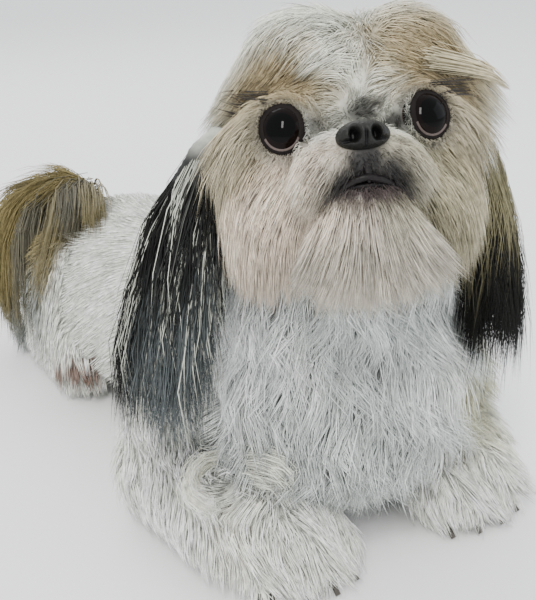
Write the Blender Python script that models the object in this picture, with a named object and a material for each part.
"""A shih tzu lying on its chest with its head raised, life size, in metres, facing -Y, floor at z = 0.

Each part of the body is a smooth core that carries flat tapered locks where its coat is long. The
cores come from stations and ellipsoids in centimetres, the locks from a flow over each core. A node
is cut by those listed before it, grown by a small gap, and by the space under the floor.
"""

import math

import bmesh
import bpy
import numpy as np
from mathutils import Euler, Matrix, Vector
from mathutils.bvhtree import BVHTree

for old in list(bpy.data.objects):
    bpy.data.objects.remove(old)

# Sizes are in centimetres and are scaled by CM, but the gap between two nodes and the voxels of the
# cores are in metres.
CM = 0.01
GAP = 0.0004
BODY_VOXEL = 0.0034
HEAD_VOXEL = 0.0022
NOSE_VOXEL = 0.0012
FLOOR_DEPTH = 10.0

# The head's own frame has its origin midway between the eyes, and faces -Y.
EYE_MID = Vector((-3.35, -20.4, 24.85))
HEAD_YAW = math.radians(-24.0)
HEAD_PITCH = math.radians(-26.0)
HEAD_ROLL = math.radians(-2.8)
HEAD = (
    Matrix.Translation(EYE_MID)
    @ Matrix.Rotation(HEAD_YAW, 4, "Z")
    @ Matrix.Rotation(HEAD_PITCH, 4, "X")
    @ Matrix.Rotation(HEAD_ROLL, 4, "Y")
)
BODY = Matrix.Identity(4)

EYE_HALF_SPAN = 3.0
EYE_RADIUS = 1.15
EYE_DEPTH = 0.35
EYE_OUTWARD = math.radians(16)
# The socket's size as a share of the eye's.
SOCKET_ROOM = 1.1
LID_RADIUS = 1.16
LID_HALF_THICKNESS = 0.32
NOSE_PLACE = (0, -2.4, -1.1)
NOSE_RADII = (1.15, 0.75, 0.75)
# How far each toe is from the middle of its paw.
TOES = (-2.3, -0.8, 0.8, 2.3)

SIDES = {"right": -1, "left": 1}

# The depth of coat that the head's core carries under its locks, how deep a lock's root is sunk, how
# far a lock may roll about its length in degrees, and how high above the floor its path stays.
COAT = 0.1
SINK = 0.55
LOCK_ROLL = 18.0
FLOOR_ROOM = 0.35
# A lock's cut is a flat diamond, whose corners move out further than its sides when it grows.
CORNER_LIMIT = 6.0
# How many places are tried for the roots of each node's locks.
PLACES_TRIED = 6000

# A lock's width and thickness from root to tip, as shares of the largest.
LOCK_WIDTHS = (0.6, 0.95, 1.0, 0.75, 0.14)
LOCK_THICKNESSES = (0.8, 1.0, 0.95, 0.65, 0.2)

# About how many triangles each core keeps.
CORE_TRIANGLES = {
    "head": 760,
    "lower_jaw": 200,
    "neck": 220,
    "torso": 520,
    "tail": 220,
    "foreleg": 380,
    "hindleg": 260,
    "ear": 200,
    "nose": 200,
}

# Each station of a loft is x, y, z, half width and half height.
TORSO = [
    (-1.2, -18.6, 10.6, 2.4, 3.0),
    (-0.9, -17.0, 10.2, 5.4, 5.9),
    (0.3, -14.2, 9.5, 7.7, 7.9),
    (1.2, -9.0, 8.1, 8.2, 8.3),
    (1.2, -3.0, 7.5, 7.9, 7.8),
    (0.7, 3.0, 7.1, 7.8, 7.3),
    (0.0, 9.0, 6.9, 8.0, 7.0),
    (-0.5, 14.0, 6.7, 7.6, 6.6),
    (-0.8, 18.0, 6.4, 6.0, 5.6),
    (-0.9, 20.2, 6.3, 2.9, 2.9),
]
NECK = [
    (-1.9, -17.6, 23.6, 4.4, 4.4),
    (-1.4, -15.8, 20.8, 5.6, 5.6),
    (-0.4, -13.4, 17.0, 6.6, 6.2),
    (0.5, -10.4, 13.2, 7.0, 6.6),
    (1.0, -6.8, 10.0, 6.4, 5.4),
]
TAIL = [
    (-0.9, 18.0, 10.4, 1.6, 1.6),
    (-1.4, 19.6, 11.4, 2.0, 1.9),
    (-3.0, 20.9, 11.4, 2.6, 2.3),
    (-4.8, 21.0, 9.9, 3.0, 2.5),
    (-5.6, 20.3, 7.6, 2.7, 2.2),
    (-5.7, 19.5, 5.4, 2.0, 1.6),
    (-5.7, 19.0, 3.6, 0.9, 0.8),
]
EARS = {
    "right": [
        (-6.7, -14.8, 24.0, 0.8, 0.6),
        (-7.9, -15.2, 23.2, 1.1, 0.7),
        (-8.9, -15.6, 21.4, 1.6, 0.8),
        (-9.8, -16.0, 18.9, 2.0, 0.8),
        (-10.4, -16.3, 16.9, 1.8, 0.7),
        (-10.6, -16.5, 15.9, 0.7, 0.4),
    ],
    "left": [
        (3.6, -18.5, 24.4, 0.8, 0.6),
        (4.9, -18.4, 23.4, 1.3, 0.7),
        (5.9, -18.3, 21.2, 1.8, 0.8),
        (6.2, -18.5, 18.6, 2.1, 0.8),
        (6.0, -18.7, 16.6, 1.8, 0.7),
        (5.8, -18.8, 15.6, 0.7, 0.4),
    ],
}
FORELEGS = {
    # Shoulder, elbow, wrist, paw and toes.
    "right": [(-5.2, -8.6, 9), (-8, -7.4, 2.9), (-6.9, -13.2, 2.9), (-5.1, -16.5, 2.6), (-4.8, -18.2, 1.9)],
    "left": [(7.2, -13.6, 9), (9.5, -10.4, 2.9), (8.3, -14.4, 2.9), (7, -16.6, 2.6), (6.7, -18.1, 1.9)],
}


def kind_of(name):
    """A node's name without its side."""
    return name.replace("_right", "").replace("_left", "")


def new_object(name, mesh):
    obj = bpy.data.objects.new(name, mesh)
    bpy.context.scene.collection.objects.link(obj)
    return obj


def mesh_from(name, points, faces):
    """A mesh in triangles, which every later step then reads as the same shape."""
    mesh = bpy.data.meshes.new(name)
    mesh.from_pydata([tuple(p) for p in points], [], faces)
    shape = bmesh.new()
    shape.from_mesh(mesh)
    bmesh.ops.triangulate(shape, faces=shape.faces)
    shape.to_mesh(mesh)
    shape.free()
    return mesh


def tube(stations, sides=16, frame=BODY, up=Vector((0, 0, 1))):
    """A closed loft through elliptical stations."""
    centres = [Vector(s[:3]) for s in stations]
    points = []
    last = len(stations) - 1
    for i, station in enumerate(stations):
        along = (centres[min(i + 1, last)] - centres[max(i - 1, 0)]).normalized()
        side = along.cross(up).normalized()
        rise = side.cross(along).normalized()
        for k in range(sides):
            turn = 2 * math.pi * k / sides
            offset = side * (station[3] * math.cos(turn)) + rise * (station[4] * math.sin(turn))
            points.append(frame @ (centres[i] + offset) * CM)
    faces = []
    for i in range(last):
        for k in range(sides):
            a, b = i * sides + k, i * sides + (k + 1) % sides
            faces.append((b, a, a + sides, b + sides))
    faces.append(tuple(range(sides)))
    faces.append(tuple(last * sides + k for k in range(sides - 1, -1, -1)))
    return points, faces


def ellipsoid(centre, radii, frame=BODY, turn=(0, 0, 0), fineness=3):
    """An ellipsoid turned about x, y and z by three angles in degrees."""
    ball = bmesh.new()
    bmesh.ops.create_icosphere(ball, subdivisions=fineness, radius=1)
    spin = Euler([math.radians(angle) for angle in turn]).to_matrix()
    stretch = Matrix.Diagonal(radii)
    points = [frame @ (Vector(centre) + spin @ stretch @ v.co) * CM for v in ball.verts]
    faces = [tuple(v.index for v in f.verts) for f in ball.faces]
    ball.free()
    return points, faces


def apply_modifiers(obj):
    graph = bpy.context.evaluated_depsgraph_get()
    mesh = bpy.data.meshes.new_from_object(obj.evaluated_get(graph))
    old = obj.data
    obj.modifiers.clear()
    obj.data = mesh
    bpy.data.meshes.remove(old)


def fused(name, pieces, voxel=BODY_VOXEL, smoothing=8):
    """Closed pieces melted into one smooth core."""
    points, faces = [], []
    for piece_points, piece_faces in pieces:
        base = len(points)
        points += piece_points
        faces += [tuple(i + base for i in f) for f in piece_faces]
    obj = new_object(name, mesh_from(name, points, faces))
    remesh = obj.modifiers.new("melt", "REMESH")
    remesh.mode = "VOXEL"
    remesh.voxel_size = voxel
    smooth = obj.modifiers.new("smooth", "SMOOTH")
    smooth.iterations = smoothing
    apply_modifiers(obj)
    count = sum(len(p.vertices) - 2 for p in obj.data.polygons)
    thin = obj.modifiers.new("thin", "DECIMATE")
    thin.ratio = min(1.0, CORE_TRIANGLES[kind_of(name)] / count)
    thin.use_collapse_triangulate = True
    apply_modifiers(obj)
    return obj


def swollen(obj, amount=GAP):
    """A copy pushed out along its normals, which cuts the gap that touching nodes keep."""
    copy = new_object(obj.name + "_swollen", obj.data.copy())
    for vertex in copy.data.vertices:
        vertex.co += vertex.normal * amount
    return copy


def boolean(obj, others, operation):
    """Joins or cuts obj with others. The exact solver is slower here and leaves more faulty edges."""
    tools = bpy.data.collections.new("tools")
    bpy.context.scene.collection.children.link(tools)
    for other in others:
        tools.objects.link(other)
    modifier = obj.modifiers.new("join", "BOOLEAN")
    modifier.operation = operation
    modifier.solver = "MANIFOLD"
    modifier.operand_type = "COLLECTION"
    modifier.collection = tools
    apply_modifiers(obj)
    bpy.data.collections.remove(tools)
    return obj


def remove(objects):
    for obj in objects:
        bpy.data.objects.remove(obj)


def largest_surface(obj):
    """Keeps only the largest closed surface, in triangles, without those that fold back on each other."""
    shape = bmesh.new()
    shape.from_mesh(obj.data)
    bmesh.ops.triangulate(shape, faces=shape.faces)
    by_corners = {}
    for face in shape.faces:
        by_corners.setdefault(frozenset(face.verts), []).append(face)
    folded = [face for faces in by_corners.values() if len(faces) == 2 for face in faces]
    bmesh.ops.delete(shape, geom=folded, context="FACES")
    unseen = set(shape.faces)
    groups = []
    while unseen:
        stack = [unseen.pop()]
        group = set(stack)
        while stack:
            for edge in stack.pop().edges:
                if len(edge.link_faces) == 2:
                    beside = set(edge.link_faces) & unseen
                    unseen -= beside
                    group |= beside
                    stack += beside
        groups.append(group)
    keep = max(groups, key=len)
    bmesh.ops.delete(shape, geom=[f for f in shape.faces if f not in keep], context="FACES")
    shape.to_mesh(obj.data)
    shape.free()
    return obj


def lock(path, faces_up, width, thickness, grow=0.0):
    """A flat tapered lock along a path in centimetres, made larger all round by grow."""
    last = len(path) - 1
    points = []
    for i, centre in enumerate(path):
        share = i / last
        along = (path[min(i + 1, last)] - path[max(i - 1, 0)]).normalized()
        side = along.cross(faces_up[i]).normalized()
        rise = side.cross(along).normalized()
        half_width = width / 2 * LOCK_WIDTHS[min(4, round(4 * share))]
        half_thickness = thickness / 2 * LOCK_THICKNESSES[min(4, round(4 * share))]
        slope = math.hypot(half_width, half_thickness)
        half_width, half_thickness = (
            half_width + grow * min(CORNER_LIMIT, slope / half_thickness),
            half_thickness + grow * min(CORNER_LIMIT, slope / half_width),
        )
        stretch = along * (grow * ((i == last) - (i == 0)))
        for offset in (side * half_width, rise * half_thickness, -side * half_width, -rise * half_thickness):
            points.append((centre + offset + stretch) * CM)
    faces = [(0, 1, 2, 3), tuple(4 * last + k for k in (3, 2, 1, 0))]
    for i in range(last):
        for k in range(4):
            a, b = 4 * i + k, 4 * i + (k + 1) % 4
            faces.append((b, a, a + 4, b + 4))
    return points, faces


def nearest(tree, point):
    """The nearest place on a core to a point in centimetres, and the way the core faces there."""
    place, normal = tree.find_nearest(point * CM)[:2]
    return place / CM, normal


def combed(tree, root, flow, length, lift, stations):
    """A path that leaves a core, follows its surface along the flow and rises off it to its tip."""
    point, normal = nearest(tree, root)
    path = [point - normal * SINK]
    faces_up = [normal]
    for i in range(1, stations):
        share = i / (stations - 1)
        point = point + flow(point, normal, share).normalized() * (length / (stations - 1))
        place, normal = nearest(tree, point)
        above = (point - place).dot(normal)
        height = lift * share**0.85
        if above < height:
            point = place + normal * height
        path.append(point.copy())
        faces_up.append(normal)
    return path, faces_up


def scattered(obj, spacing, wanted, seed):
    """Places on a core at least that far apart, in centimetres, where wanted says so."""
    draw = np.random.default_rng(seed)
    triangles = []
    for face in obj.data.polygons:
        corners = [obj.data.vertices[i].co / CM for i in face.vertices]
        triangles += [(corners[0], corners[k], corners[k + 1]) for k in range(1, len(corners) - 1)]
    areas = np.array([(b - a).cross(c - a).length for a, b, c in triangles])
    picks = draw.choice(len(triangles), size=PLACES_TRIED, p=areas / areas.sum())
    chosen = []
    for pick in picks:
        a, b, c = triangles[pick]
        u, v = draw.random(2)
        if u + v > 1:
            u, v = 1 - u, 1 - v
        place = a + (b - a) * u + (c - a) * v
        normal = (b - a).cross(c - a).normalized()
        if wanted(place, normal) and all((place - other).length > spacing for other in chosen):
            chosen.append(place)
    return chosen


def floor_block():
    """The space under the floor."""
    block = bmesh.new()
    size = Matrix.Diagonal((2.0, 2.0, FLOOR_DEPTH * CM, 1.0))
    bmesh.ops.create_cube(block, size=1, matrix=Matrix.Translation((0, 0, -FLOOR_DEPTH * CM / 2)) @ size)
    mesh = bpy.data.meshes.new("floor_block")
    block.to_mesh(mesh)
    block.free()
    return new_object("floor_block", mesh)


def foreleg(shoulder, elbow, wrist, paw, toe):
    """The upper arm, the forearm on the floor, the paw and its four toes."""
    upper = [(s + e) / 2 for s, e in zip(shoulder, elbow)]
    behind = (elbow[0], elbow[1] + 2.4, elbow[2])
    return [
        tube([(*shoulder, 3.2, 3.6), (*upper, 3.2, 3.6), (*elbow, 2.9, 3.0)]),
        tube([(*behind, 1.6, 1.6), (*elbow, 3.1, 3.2), (*wrist, 3.3, 3.2), (*paw, 3.7, 2.8)]),
        ellipsoid(paw, (3.7, 3.6, 2.5)),
        *[ellipsoid((toe[0] + across, toe[1] + abs(across) * 0.3, 1.1), (1.0, 1.7, 1.3)) for across in TOES],
    ]


def hindleg(side):
    """The folded thigh, the knee and the foot along the floor."""
    x = side * 6.0 - 0.5
    return [
        ellipsoid((side * 5.2 - 0.5, 12.6, 6.2), (3.6, 5.6, 5.9), turn=(-12, 0, 0)),
        ellipsoid((side * 6.0 - 0.5, 9.0, 4.0), (2.4, 3.2, 3.4)),
        tube([
            (x, 18.6, 2.2, 1.4, 1.4),
            (x, 17.2, 2.2, 2.2, 2.2),
            (x - side * 0.1, 13.0, 2.1, 2.5, 2.2),
            (x + side * 0.2, 10.2, 2.0, 2.8, 2.1),
            (x + side * 0.3, 8.6, 1.7, 2.1, 1.5),
        ]),
    ]


def head_pieces(coat):
    """The skull, brow, cheeks and muzzle, each larger by the depth of coat that it carries."""
    return [
        ellipsoid((0, 4.9, 1.6), (5.0 + coat, 4.6 + coat, 4.6 + coat), HEAD),
        ellipsoid((-2.1, 3.2, 3.1), (2.8 + coat, 2.6 + coat, 2.6 + coat), HEAD),
        ellipsoid((2.2, 3.2, 3.3), (2.9 + coat, 2.6 + coat, 2.7 + coat), HEAD),
        ellipsoid((-3.5, 3.4, -2.3), (2.3 + coat, 2.9 + coat, 2.6 + coat), HEAD),
        ellipsoid((3.5, 3.4, -2.3), (2.3 + coat, 2.9 + coat, 2.6 + coat), HEAD),
        ellipsoid((-EYE_HALF_SPAN, 1.6, 0), (1.9, 1.9, 1.9), HEAD),
        ellipsoid((EYE_HALF_SPAN, 1.6, 0), (1.9, 1.9, 1.9), HEAD),
        ellipsoid((0, -0.5, -1.75), (2.5, 2.1, 1.45), HEAD),
        ellipsoid((-1.15, -1.35, -2.05), (1.4, 1.15, 0.95), HEAD),
        ellipsoid((1.15, -1.35, -2.05), (1.4, 1.15, 0.95), HEAD),
        ellipsoid((0, 2.4, -3.6), (2.6 + coat, 2.6 + coat, 1.6 + coat), HEAD),
    ]


def jaw_pieces(coat):
    """The lower jaw and the chin."""
    return [
        ellipsoid((0, -0.5, -3.55), (2.0 + coat / 2, 1.75, 0.8), HEAD),
        ellipsoid((0, 0.3, -4.2), (2.2 + coat, 1.9, 1.1 + coat), HEAD),
    ]


def turned(direction):
    """A direction of the head's frame in the body's frame."""
    return (HEAD.to_3x3() @ Vector(direction)).normalized()


def from_head(point):
    """A place of the body's frame in the head's frame."""
    return HEAD.inverted() @ point


def eyeball(side, radius, fineness=3):
    return ellipsoid((side * EYE_HALF_SPAN, EYE_DEPTH, 0), (radius,) * 3, HEAD, fineness=fineness)


def eye_axis(side):
    """The way an eye looks, in the head's frame."""
    return Vector((side * math.sin(EYE_OUTWARD), -math.cos(EYE_OUTWARD), 0))


def ring(centre, axis, radius, half_thickness, frame, around=16, sides=5):
    """A closed ring about an axis."""
    first = axis.orthogonal().normalized()
    second = axis.cross(first)
    points = []
    for i in range(around):
        turn = 2 * math.pi * i / around
        outward = first * math.cos(turn) + second * math.sin(turn)
        for k in range(sides):
            spin = 2 * math.pi * k / sides
            offset = outward * math.cos(spin) + axis * math.sin(spin)
            points.append(frame @ (centre + outward * radius + offset * half_thickness) * CM)
    faces = []
    for i in range(around):
        for k in range(sides):
            a, b = i * sides + k, i * sides + (k + 1) % sides
            c, d = (i + 1) % around * sides + (k + 1) % sides, (i + 1) % around * sides + k
            faces.append((a, d, c, b))
    return points, faces


def lids(side):
    """The rim of both lids, round the eye a little in front of its middle."""
    centre = Vector((side * EYE_HALF_SPAN, EYE_DEPTH, 0)) + eye_axis(side) * 0.3
    return ring(centre, eye_axis(side), LID_RADIUS, LID_HALF_THICKNESS, HEAD)


def lip(grow=0.0):
    """The lower lip, from one corner of the mouth to the other, made thicker by grow."""
    half = [(1.95, 0.2, -3.6, 0.2), (1.5, -1.5, -3.2, 0.26), (0.7, -2.3, -3.0, 0.29)]
    right = [(-x, y, z, r + grow, r + grow) for x, y, z, r in half]
    left = [(x, y, z, r + grow, r + grow) for x, y, z, r in reversed(half)]
    return tube(right + left, sides=6, frame=HEAD)


def nose_cutters():
    """Two nostrils and the groove between them."""
    cutters = [ellipsoid((0, -3.15, -1.2), (0.07, 0.25, 0.6), HEAD, fineness=1)]
    for side in SIDES.values():
        tilt = (0, side * 25, 0)
        cutters.append(ellipsoid((side * 0.52, -3.1, -1.15), (0.24, 0.42, 0.17), HEAD, tilt, fineness=1))
    return cutters


def claws(toe):
    """Four short claws that come out of the toes and lie just over the floor."""
    return [
        tube(
            [
                (toe[0] + across, toe[1] - 1.0 + abs(across) * 0.25, 0.75, 0.3, 0.3),
                (toe[0] + across * 1.05, toe[1] - 2.1 + abs(across) * 0.3, 0.55, 0.26, 0.28),
                (toe[0] + across * 1.08, toe[1] - 2.9 + abs(across) * 0.35, 0.22, 0.08, 0.08),
            ],
            sides=6,
        )
        for across in TOES
    ]


def ear(name):
    """The ear's flap down to half the length of its hair, turned a little forwards."""
    return [tube(EARS[name], up=Vector((SIDES[name] * 0.7, -0.7, 0)))]


# Each node's base colour and roughness.
LOOKS = {
    "head": ((0.72, 0.68, 0.60), 0.85),
    "lower_jaw": ((0.62, 0.58, 0.52), 0.85),
    "neck": ((0.70, 0.69, 0.67), 0.85),
    "torso": ((0.74, 0.71, 0.64), 0.85),
    "tail": ((0.36, 0.31, 0.20), 0.85),
    "foreleg": ((0.76, 0.74, 0.69), 0.85),
    "hindleg": ((0.74, 0.71, 0.65), 0.85),
    "ear": ((0.12, 0.12, 0.13), 0.8),
    "eye": ((0.02, 0.015, 0.012), 0.1),
    "nose": ((0.05, 0.05, 0.055), 0.45),
}


def finish(obj):
    """Gives a node a material of its own and smooth shading."""
    colour, roughness = LOOKS[kind_of(obj.name)]
    material = bpy.data.materials.new(obj.name)
    material.use_nodes = True
    shader = material.node_tree.nodes["Principled BSDF"]
    shader.inputs["Base Color"].default_value = (*colour, 1.0)
    shader.inputs["Roughness"].default_value = roughness
    obj.data.materials.clear()
    obj.data.materials.append(material)
    obj.data.shade_smooth()
    obj.data.set_sharp_from_angle(angle=math.radians(50))


# How the hair lies. Each takes a place on the core, the way it faces and the share of the lock behind.
DOWN = Vector((0, 0, -1))


def head_flow(point, normal, share):
    """Out from the parting over the crown, out and down past the eyes, down the cheeks."""
    spot = from_head(point)
    side = 1 if spot.x > 0 else -1
    if spot.z > 1.4 and spot.y < 7:
        return turned((side * 1.0, 0.15, -0.25 - 0.8 * share)) + DOWN * 0.3 * share
    if spot.y < 1.2 and abs(spot.x) < 3 and spot.z < -0.6:
        return turned((side * 0.8, 0.1, -0.8)) + DOWN * 0.3
    return turned((side * 0.35, 0.2, -0.8)) + DOWN * 0.4


def head_length(spot):
    """Short on the muzzle, long at the outer end of the left brow, where the hair sweeps out."""
    if spot.y < 0.9 and abs(spot.x) < 3 and spot.z < -0.6:
        return 0.6
    return 1.3 if spot.x > 3.5 and spot.z > 0.5 else 1.0


def beard_flow(point, normal, share):
    """Down from the chin and a little forwards."""
    return turned((from_head(point).x * 0.12, -0.2, -0.8)) + DOWN * 0.6


def ear_flow(point, normal, share):
    """Straight down off the flap."""
    return DOWN + Vector((-0.12 if point.x < 0 else -0.1, -0.04, 0)) + normal * 0.12 * (1 - share)


def ruff_flow(point, normal, share):
    """Down the neck and chest, with a slow wave from side to side."""
    wave = 0.3 * math.sin(point.z * 1.1 + point.x * 2.3)
    return DOWN + Vector((0.03 * point.x + wave, -0.12, 0))


def body_flow(point, normal, share):
    """Back along the flank, but down on the chest."""
    return Vector((0, 0.8, -0.6)) if point.y > -13 else Vector((0.02 * point.x, -0.1, -1))


def leg_flow(point, normal, share):
    """Along the foreleg towards the toes and down its sides."""
    return Vector((0.25 * math.sin(2.1 * point.x + point.z), -0.55, -0.75)) + normal * 0.25


def foot_flow(point, normal, share):
    """Down the thigh and the foot."""
    return Vector((0.1 * math.sin(3 * point.y), -0.35, -0.8)) + normal * 0.2


def tail_flow(point, normal, share):
    """Along the tail, out over the rump and down to the floor."""
    after = [Vector(s[:3]) for s in TAIL]
    i = min(range(len(after) - 1), key=lambda k: (after[k] - point).length)
    return (after[i + 1] - after[i]).normalized() + DOWN * 0.5 + normal * 0.15


def head_wanted(place, normal):
    """Where the head carries locks: not on the muzzle's front, the eyes or under the chin."""
    spot = from_head(place)
    near_eye = min((spot - Vector((side * EYE_HALF_SPAN, EYE_DEPTH, 0))).length for side in (-1, 1))
    muzzle = abs(spot.x) < 1.3 and spot.y < 0.4 and spot.z > -2.9
    under = spot.z < -3.4 and abs(spot.x) < 2.3
    parting = abs(spot.x) < 0.4 and spot.z > 1
    behind = spot.y > 8.2
    return near_eye > 2.0 and not muzzle and not under and not parting and not behind


def beard_wanted(place, normal):
    """Under the lip, in front and at the sides."""
    facing = HEAD.to_3x3().inverted() @ normal
    return from_head(place).z < -3.7 and facing.y < 0.5


def ruff_wanted(place, normal):
    """Where the neck faces forwards or sideways."""
    return normal.y < 0.2


def chest_wanted(place, normal):
    """Only the chest, because the coat of the back and flanks is short."""
    return place.y < -12.5 and normal.y < -0.25 and place.z > 6.5


def leg_wanted(place, normal):
    """Above the toes, where the leg doesn't face the floor."""
    return place.z > 1.5 and normal.z > -0.5


def anywhere(place, normal):
    """Clear of the floor."""
    return place.z > 1.2


# For each node: spacing, lock length, width, thickness, lift at the tip, flow, wanted and stations.
LOCKS = {
    "head": (2.25, 4.0, 1.9, 0.36, 1.15, head_flow, head_wanted, 4),
    "lower_jaw": (1.3, 3.2, 1.1, 0.3, 0.9, beard_flow, beard_wanted, 4),
    "ear": (1.85, 6.0, 1.55, 0.34, 0.8, ear_flow, anywhere, 4),
    "neck": (2.9, 5.2, 2.4, 0.4, 1.5, ruff_flow, ruff_wanted, 4),
    "torso": (2.7, 4.6, 2.3, 0.42, 1.4, body_flow, chest_wanted, 4),
    "foreleg": (2.6, 2.2, 2.1, 0.46, 0.8, leg_flow, leg_wanted, 4),
    "hindleg": (2.5, 2.4, 2.0, 0.44, 0.7, foot_flow, leg_wanted, 4),
    "tail": (2.4, 3.5, 2.0, 0.42, 1.0, tail_flow, anywhere, 4),
}


# The seed of each node's random draw of places for its locks.
SEEDS = {
    "lower_jaw": 3,
    "head": 4,
    "ear_right": 5,
    "ear_left": 6,
    "neck": 7,
    "torso": 8,
    "foreleg_right": 9,
    "foreleg_left": 10,
    "hindleg_right": 11,
    "hindleg_left": 12,
    "tail": 13,
}


def tree_of(obj):
    """A search tree over the faces of an object."""
    mesh = obj.data
    return BVHTree.FromPolygons([v.co for v in mesh.vertices], [p.vertices for p in mesh.polygons])


def inside(tree, point):
    """Whether a ray from the point leaves the closed core an odd number of times."""
    start = point * CM
    ray = Vector((0.37, 0.21, 0.9)).normalized()
    crossings = 0
    while (hit := tree.ray_cast(start, ray)[0]) is not None:
        crossings += 1
        start = hit + ray * 1e-5
    return crossings % 2 == 1


def grown_locks(core, others, seed):
    """The locks of one core, and the same locks larger by the gap, each as closed pieces."""
    kind = kind_of(core.name)
    spacing, length, width, thickness, lift, flow, wanted, stations = LOCKS[kind]
    tree = tree_of(core)
    draw = np.random.default_rng(seed)
    plain, larger = [], []
    for root in scattered(core, spacing, wanted, seed):
        if any(inside(other, root) for other in others):
            continue
        long = length * draw.uniform(0.85, 1.15)
        if kind == "head":
            long *= head_length(from_head(root))
        path, faces_up = combed(tree, root, flow, long, lift * draw.uniform(0.8, 1.2), stations)
        roll = Matrix.Rotation(math.radians(draw.uniform(-LOCK_ROLL, LOCK_ROLL)), 3, path[-1] - path[0])
        faces_up = [roll @ normal for normal in faces_up]
        if min(p.z for p in path) < FLOOR_ROOM:
            continue
        wide = width * draw.uniform(0.85, 1.1)
        plain.append(lock(path, faces_up, wide, thickness))
        larger.append(lock(path, faces_up, wide, thickness, GAP / CM))
    return plain, larger


bodies = {
    "head": fused("head", head_pieces(COAT), voxel=HEAD_VOXEL),
    "lower_jaw": fused("lower_jaw", jaw_pieces(COAT), voxel=HEAD_VOXEL),
    "neck": fused("neck", [tube(NECK)]),
    "torso": fused("torso", [tube(TORSO, 20)]),
    "tail": fused("tail", [tube(TAIL)]),
    "nose": fused("nose", [ellipsoid(NOSE_PLACE, NOSE_RADII, HEAD)], voxel=NOSE_VOXEL, smoothing=2),
}
for name, side in SIDES.items():
    bodies["foreleg_" + name] = fused("foreleg_" + name, foreleg(*FORELEGS[name]))
    bodies["hindleg_" + name] = fused("hindleg_" + name, hindleg(side))
    bodies["ear_" + name] = fused("ear_" + name, ear(name), voxel=HEAD_VOXEL)
    bodies["eye_" + name] = new_object("eye_" + name, mesh_from("eye_" + name, *eyeball(side, EYE_RADIUS)))

# A node listed later is cut by every node listed before it.
ORDER = ["eye_right", "eye_left", "nose", "lower_jaw", "head", "ear_right", "ear_left", "neck", "torso"]
ORDER += ["foreleg_right", "foreleg_left", "hindleg_right", "hindleg_left", "tail"]

# Each node gets its locks, lids, lip or claws, and a grown copy of itself, its shell.
cores = {name: tree_of(obj) for name, obj in bodies.items()}
shells = []
for name in ORDER:
    body = bodies[name]
    shell = swollen(body)
    if name.startswith("eye"):
        shell.data = mesh_from("socket", *eyeball(SIDES[name[4:]], EYE_RADIUS * SOCKET_ROOM, 2))
    extras, larger = [], []
    if name in SEEDS:
        extras, larger = grown_locks(body, [cores[other] for other in ORDER if other != name], SEEDS[name])
    if name == "head":
        extras += [lids(side) for side in SIDES.values()]
    if name == "lower_jaw":
        extras.append(lip())
        larger.append(lip(1.5 * GAP / CM))
    if name.startswith("foreleg"):
        extras += claws(FORELEGS[name[8:]][4])
    if extras:
        pieces = [new_object("piece", mesh_from("piece", *piece)) for piece in extras]
        boolean(body, pieces, "UNION")
        remove(pieces)
    pieces = [new_object("piece", mesh_from("piece", *piece)) for piece in larger]
    boolean(shell, pieces + [body], "UNION")
    remove(pieces)
    largest_surface(shell)
    shells.append(shell)

cutters = [new_object("cutter", mesh_from("cutter", *piece)) for piece in nose_cutters()]
boolean(bodies["nose"], cutters, "DIFFERENCE")
remove(cutters)

# Each node is cut by the shells of those before it, and by the floor.
floor = floor_block()
for i, name in enumerate(ORDER):
    for cutter in shells[:i] + [floor]:
        boolean(bodies[name], [cutter], "DIFFERENCE")
    largest_surface(bodies[name])
    finish(bodies[name])
remove(shells + [floor])

# The origin is put under the middle of the model's box, on the floor.
corners = np.array([v.co for obj in bodies.values() for v in obj.data.vertices])
middle = (corners.min(axis=0) + corners.max(axis=0)) / 2
for obj in bodies.values():
    obj.data.transform(Matrix.Translation((-middle[0], -middle[1], 0)))
